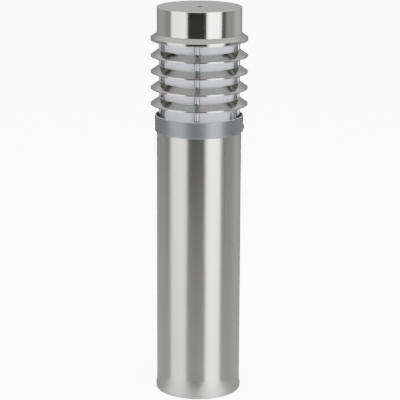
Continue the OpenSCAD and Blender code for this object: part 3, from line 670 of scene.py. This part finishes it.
def makeDiffuser():
    low, high = bottomOf("diffuser"), topOf("diffuser")
    outer = radiusOf("diffuser")
    inner = outer - diffuser["wall"]
    start, end = low + diffuser["plainEnd"], high - diffuser["plainEnd"]
    ribs = round((end - start) / diffuser["ribPitch"])
    pitch = (end - start) / ribs
    outline = [(inner, low), (outer, low), (outer, start)]
    for rib in range(ribs):
        base = start + rib * pitch
        outline += [(outer - diffuser["ribDepth"], base + pitch * 0.12),
                    (outer - diffuser["ribDepth"] * 0.25, base + pitch * 0.32),
                    (outer, base + pitch * 0.56), (outer - diffuser["ribDepth"] * 0.25, base + pitch * 0.8)]
    outline += [(outer, end), (outer, high), (inner, high)]
    return turn("diffuserTube", outline, segments=128)


show(makeDiffuser(), "opal_diffuser", "head", "diffuser")

sleeve = {"outer": 3.7 * mm, "inner": 2.25 * mm, "chamfer": 0.35 * mm, "seatSink": 0.1 * mm}


def makeSleeve(low, high, angle):
    outer, inner, chamfer = sleeve["outer"], sleeve["inner"], sleeve["chamfer"]
    third = (high - low) / 3
    return turn("sleeve", [(inner, low), (outer - chamfer, low), (outer, low + chamfer),
                           (outer, low + third), (outer, high - third), (outer, high - chamfer),
                           (outer - chamfer, high), (inner, high)],
                segments=48, centre=onCircle(collar["studCircle"], angle, 0)[:2])


lowerSleeves = [makeSleeve(bottomOf("lower_spacers"), topOf("lower_spacers"), angle) for angle in cageAngles]
show(joined("lowerSleeves", lowerSleeves), "bright_sleeve", "head", "lower_spacers")
ringSleeves = []
for number in range(5, 1, -1):
    start = topOf(f"louvre_ring_{number}")
    end = topOf(f"louvre_ring_{number - 1}") - louvre["sheet"] + sleeve["seatSink"]
    ringSleeves += [makeSleeve(start, end, angle) for angle in cageAngles]
show(joined("ringSleeves", ringSleeves), "bright_sleeve", "head", "ring_spacers")
print("diffuser and sleeves made")

cap = {"wall": 1.2 * mm, "round": 1.0 * mm, "rimEdge": 0.3 * mm, "dimple": 6.2 * mm, "dimpleDepth": 2.6 * mm,
       "dimpleRound": 0.5 * mm, "dimpleFillet": 0.4 * mm, "hole": 2.75 * mm}


def makeCap():
    low, high = bottomOf("cap_shell") + hair, topOf("cap_shell") - hair
    inner, edge, wall = postRadius - cap["wall"], cap["round"], cap["wall"]
    rimEdge, dimple, soft, fillet = cap["rimEdge"], cap["dimple"], cap["dimpleRound"], cap["dimpleFillet"]
    dimpleLow = high - cap["dimpleDepth"]
    outline = [(inner, low), (postRadius - rimEdge, low), (postRadius, low + rimEdge)]
    outline += [(postRadius, low + (high - low) * step / 7) for step in range(1, 6)]
    outline += arc(postRadius - edge, high - edge, edge, 0, 90, 8)
    outline += [(postRadius * share, high) for share in (0.9, 0.7, 0.5, 0.3)]
    outline += arc(dimple + soft, high - soft, soft, 90, 180, 4)
    outline += [(dimple, dimpleLow + fillet), (dimple - fillet, dimpleLow), (cap["hole"], dimpleLow),
                (cap["hole"], dimpleLow - wall), (dimple + wall, dimpleLow - wall),
                (dimple + wall, high - wall), (inner - soft, high - wall), (inner, high - wall - soft)]
    return turn("capShell", outline, segments=192)


show(makeCap(), "cap_stainless", "cap", "cap_shell")


# a screw with a rounded head and a hexagon socket; its axis runs from tip to head
def makeScrew(name, screwSize, tip, seat, crown):
    shank, head = screwSize["shank"], screwSize["head"]
    low = Vector(tip)
    along = Vector(crown) - low
    total, seatAt = along.length, (Vector(seat) - low).length
    headHeight = total - seatAt
    outline = [(shank * 0.6, 0), (shank, shank * 0.4), (shank, seatAt), (head, seatAt)]
    outline += [(head, seatAt + headHeight * 0.45), (head * 0.96, seatAt + headHeight * 0.72),
                (head * 0.84, seatAt + headHeight * 0.9), (head * 0.66, total)]
    screw = turnSolid(name, outline, segments=64)
    clearSelection()
    bpy.ops.mesh.primitive_cylinder_add(vertices=6, radius=screwSize["socket"], depth=headHeight * 1.6,
                                        location=(0, 0, total + headHeight * 0.15))
    cut(screw, bpy.context.object)
    screw.rotation_euler = along.to_track_quat("Z", "Y").to_euler()
    screw.location = low
    settle(screw, 30)
    return screw


capScrew = {"shank": 2.5 * mm, "head": 4.5 * mm, "socket": 1.8 * mm}
capScrewEnds = [(0, 0, height) for height in
                (bottomOf("cap_screw"), topOf("cap_screw_washer"), topOf("cap_screw"))]
show(makeScrew("capScrew", capScrew, *capScrewEnds), "dark_steel", "cap_fastener", "cap_screw")
lockScrew = {"shank": 2 * mm, "head": 3 * mm, "socket": 1.3 * mm}
lockRadii = (radiusOf("collar") - collar["wall"], radiusOf("collar"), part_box("lock_screw_right")[1].x)
for lockName, lockAngle, side in (("lockScrewRight", lockAngles[0], "right"),
                                  ("lockScrewRear", lockAngles[1], "rear")):
    lockEnds = [onCircle(radius, lockAngle, lockHeight) for radius in lockRadii]
    show(makeScrew(lockName, lockScrew, *lockEnds), "bright_sleeve", f"lock_{side}", f"lock_screw_{side}")
print("cap and screws made")

clip = {"width": 9 * mm, "thick": 1.2 * mm, "height": 15 * mm, "foot": 8.7 * mm, "tab": 5 * mm,
        "bend": 0.5 * mm, "gap": 0.3 * mm, "angles": (-27, 153)}


def makeClip(angle):
    web = bottomOf("diffuser_clips")
    inner = radiusOf("diffuser") + clip["gap"]
    thick = clip["thick"]
    clearSelection()
    bpy.ops.mesh.primitive_cube_add(size=1)
    piece = bpy.context.object
    piece.scale = (thick, clip["width"], thick)
    piece.location = (inner + thick / 2, 0, web + thick / 2)
    bpy.ops.object.transform_apply(location=True, rotation=True, scale=True)
    bpy.ops.object.mode_set(mode="EDIT")
    bpy.ops.mesh.select_mode(type="FACE")

    def selectFaces(wanted):
        bpy.ops.mesh.select_all(action="DESELECT")
        bpy.ops.object.mode_set(mode="OBJECT")
        for face in piece.data.polygons:
            face.select = wanted(face)
        bpy.ops.object.mode_set(mode="EDIT")

    def pull(x, z):
        bpy.ops.mesh.extrude_region_move(TRANSFORM_OT_translate={"value": (x, 0, z)})

    def facesOut(level):
        selectFaces(lambda face: face.normal.x > 0.9 and abs(face.center.z - level) < thick / 2)

    facesOut(web + thick / 2)
    pull(clip["foot"] - thick, 0)                                # foot
    selectFaces(lambda face: face.normal.z > 0.9 and face.center.x < inner + thick)
    pull(0, clip["height"] - 2 * thick)                          # upright, then the tab's thickness
    pull(0, thick)
    facesOut(web + clip["height"] - thick / 2)
    pull(clip["tab"] - thick, 0)                                 # tab
    bpy.ops.mesh.select_all(action="SELECT")
    bpy.ops.mesh.remove_doubles(threshold=mergeWithin)
    bpy.ops.mesh.normals_make_consistent(inside=False)
    bpy.ops.object.mode_set(mode="OBJECT")
    applyModifier(piece, "BEVEL", width=clip["bend"], segments=3, limit_method="ANGLE",
                  angle_limit=math.radians(40))
    piece.rotation_euler = (0, 0, math.radians(angle))
    settle(piece, 30)
    return piece


show(joined("diffuserClips", [makeClip(angle) for angle in clip["angles"]]), "bright_sleeve", "head",
     "diffuser_clips", finishName="clip_plate")
print("clips made")

lamp = {"domeRadius": 30 * mm, "wall": 1.5 * mm, "cutShare": 0.45,
        "thread": 0.6 * mm, "threadPitch": 3.63 * mm, "threadStart": 2.2 * mm, "coils": 5,
        "shellWall": 0.5 * mm, "housingWall": 1.8 * mm, "foot": 1.4 * mm, "belly": 0.6 * mm,
        "footEdge": 0.4 * mm, "lip": 0.5 * mm, "wireHole": 3 * mm}


def makeDome():
    low, high = bottomOf("lamp_dome"), topOf("lamp_dome")
    outer = lamp["domeRadius"]
    centre = high - outer
    startAngle = -math.degrees(math.asin(lamp["cutShare"]))
    inner = outer - lamp["wall"]
    innerStart = -math.degrees(math.asin((centre - low) / inner))
    outline = arc(0, centre, outer, startAngle, 89.9, 28) + arc(0, centre, inner, 89.9, innerStart, 20)
    return turn("lampDome", outline, segments=96)


def makeLampCap():
    low, high = bottomOf("lamp_screw_cap"), topOf("lamp_screw_cap")
    outer = radiusOf("lamp_screw_cap")
    root, neck, rim = outer - lamp["thread"], outer * 0.7, outer - 0.1 * mm
    inner, pitch = root - lamp["shellWall"], lamp["threadPitch"]
    start = low + lamp["threadStart"]
    outline = [(neck, low), (root, low + 1.2 * mm)]
    for coil in range(lamp["coils"]):
        base = start + coil * pitch
        for sixth in range(6):
            swell = 0.5 - 0.5 * math.cos(math.radians(sixth * 60))
            outline.append((root + lamp["thread"] * swell, base + pitch * sixth / 6))
    outline += [(root, start + lamp["coils"] * pitch), (rim, high - 1 * mm), (rim, high),
                (inner, high), (inner, low + 2 * mm), (neck, low + 0.6 * mm)]
    return turn("lampScrewCap", outline, segments=80)


def makeHousing():
    low, high = bottomOf("lamp_housing"), topOf("lamp_housing")
    topRadius = radiusOf("lamp_housing")
    footRadius = radiusOf("lamp_screw_cap") + lamp["foot"]
    wall, edge, lip, wireHole = lamp["housingWall"], lamp["footEdge"], lamp["lip"], lamp["wireHole"]
    outline = [(footRadius - wall, low), (footRadius - edge, low), (footRadius, low + edge)]
    for step in range(1, 14):                                    # swells gently, then ends in a small lip
        share = step / 14
        belly = lamp["belly"] * math.sin(math.pi * share)
        outline.append((footRadius + (topRadius - footRadius) * share + belly, low + (high - low) * share))
    outline += [(topRadius, high - lip), (topRadius - lip, high), (wireHole, high),
                (wireHole, high - wall), (topRadius - wall - 0.8 * mm, high - wall)]
    return turn("lampHousing", outline, segments=96)


show(makeDome(), "lamp_opal", "lamp", "lamp_dome")
show(makeLampCap(), "nickel_brass", "lamp", "lamp_screw_cap")
show(makeHousing(), "lamp_white", "lamp", "lamp_housing")
print("lamp made")

floor = {"side": 30, "drop": 0.2 * mm, "pale": (0.93, 0.93, 0.93, 1), "rough": 0.9, "glow": 9.0}


def layFloor():
    clearSelection()
    bpy.ops.mesh.primitive_plane_add(size=floor["side"], location=(0, 0, -floor["drop"]))
    sheet = bpy.context.object
    sheet.name = "floor"
    material, tree, shader = newMaterial("floor")
    shader.inputs["Base Color"].default_value = floor["pale"]
    shader.inputs["Roughness"].default_value = floor["rough"]
    shader.inputs["Emission Color"].default_value = (1, 1, 1, 1)
    seen = tree.nodes.new("ShaderNodeLightPath").outputs["Is Camera Ray"]
    tree.links.new(mathNode(tree, "MULTIPLY", seen, floor["glow"]), shader.inputs["Emission Strength"])
    sheet.data.materials.append(material)
    sheet.visible_glossy = False


layFloor()

lights = {"keyLight": {"place": (-1.4, -1.6, 2.2), "target": (0, 0, 0.3), "size": (1.4, 1.6), "power": 46},
          "fillLight": {"place": (1.5, -1.3, 1.9), "target": (0, 0, 0.3), "size": (1.4, 1.6), "power": 40},
          "topLight": {"place": (0, 0.2, 2.8), "target": (0, 0, 0), "size": (2.4, 2.4), "power": 80}}


def softLight(name, place, target, size, power):
    data = bpy.data.lights.new(name, "AREA")
    data.shape = "RECTANGLE"
    data.size, data.size_y = size
    data.energy = power
    lightObject = bpy.data.objects.new(name, data)
    lightObject.location = place
    lightObject.rotation_euler = (Vector(target) - Vector(place)).to_track_quat("-Z", "Y").to_euler()
    lightObject.visible_glossy = False
    bpy.context.scene.collection.objects.link(lightObject)


for lightName, settings in lights.items():
    softLight(lightName, **settings)


# brightness by degrees round the upright axis, 0 towards the front
studio = {
    "bands": [(-180, 0.42), (-150, 0.34), (-130, 0.40), (-112, 0.40), (-96, 0.28), (-82, 0.28), (-77, 2.9),
              (-39, 3.6), (-31, 0.04), (19, 0.04), (25, 6.6), (56, 6.0), (61, 0.10), (72, 0.10), (78, 0.34),
              (100, 0.34), (115, 0.62), (130, 0.62), (150, 0.36), (180, 0.42)],
    "highFrom": 0.25, "highTo": 0.7, "overhead": (1.0, 1.0, 1.01, 1),
    "lowFrom": -0.21, "lowTo": -0.36, "under": (0.60, 0.60, 0.57, 1),
    "softened": (0.62, 0.61, 0.64, 1), "softShare": 0.5}


# the studio as the metal sees it: white panels either side, dark behind the viewer, grey elsewhere
def makeStudio():
    world = bpy.data.worlds.new("studio")
    world.use_nodes = True
    bpy.context.scene.world = world
    tree = world.node_tree
    background = tree.nodes["Background"]
    direction = tree.nodes.new("ShaderNodeSeparateXYZ")
    tree.links.new(tree.nodes.new("ShaderNodeTexCoord").outputs["Generated"], direction.inputs[0])
    backwards = mathNode(tree, "MULTIPLY", direction.outputs["Y"], -1.0)
    azimuth = mathNode(tree, "ARCTAN2", direction.outputs["X"], backwards)
    share = mathNode(tree, "ADD", mathNode(tree, "DIVIDE", azimuth, 2 * math.pi), 0.5)
    bands = tree.nodes.new("ShaderNodeValToRGB")
    tree.links.new(share, bands.inputs["Fac"])
    ramp = bands.color_ramp
    while len(ramp.elements) < len(studio["bands"]):
        ramp.elements.new(0.5)
    for element, (angle, value) in zip(ramp.elements, studio["bands"]):
        element.position = angle / 360 + 0.5
        element.color = (value, value, value, 1)
    # above the panels the light evens out; far below them too
    high = tree.nodes.new("ShaderNodeMapRange")
    high.inputs["From Min"].default_value = studio["highFrom"]
    high.inputs["From Max"].default_value = studio["highTo"]
    tree.links.new(direction.outputs["Z"], high.inputs["Value"])
    low = tree.nodes.new("ShaderNodeMapRange")
    low.inputs["From Min"].default_value = studio["lowFrom"]
    low.inputs["From Max"].default_value = studio["lowTo"]
    tree.links.new(direction.outputs["Z"], low.inputs["Value"])
    overhead = tree.nodes.new("ShaderNodeMix")
    overhead.data_type = "RGBA"
    overhead.inputs["B"].default_value = studio["overhead"]
    tree.links.new(high.outputs[0], overhead.inputs["Factor"])
    tree.links.new(bands.outputs["Color"], overhead.inputs["A"])
    under = tree.nodes.new("ShaderNodeMix")                       # the floor in front lifts only the darks
    under.data_type = "RGBA"
    under.blend_type = "LIGHTEN"
    under.inputs["B"].default_value = studio["under"]
    tree.links.new(low.outputs[0], under.inputs["Factor"])
    tree.links.new(overhead.outputs["Result"], under.inputs["A"])
    softened = tree.nodes.new("ShaderNodeMix")                    # and softens the panels near the ground
    softened.data_type = "RGBA"
    softened.inputs["B"].default_value = studio["softened"]
    partly = mathNode(tree, "MULTIPLY", low.outputs[0], studio["softShare"])
    tree.links.new(partly, softened.inputs["Factor"])
    tree.links.new(under.outputs["Result"], softened.inputs["A"])
    tree.links.new(softened.outputs["Result"], background.inputs["Color"])
    background.inputs["Strength"].default_value = 1.0


makeStudio()
print("stage made")
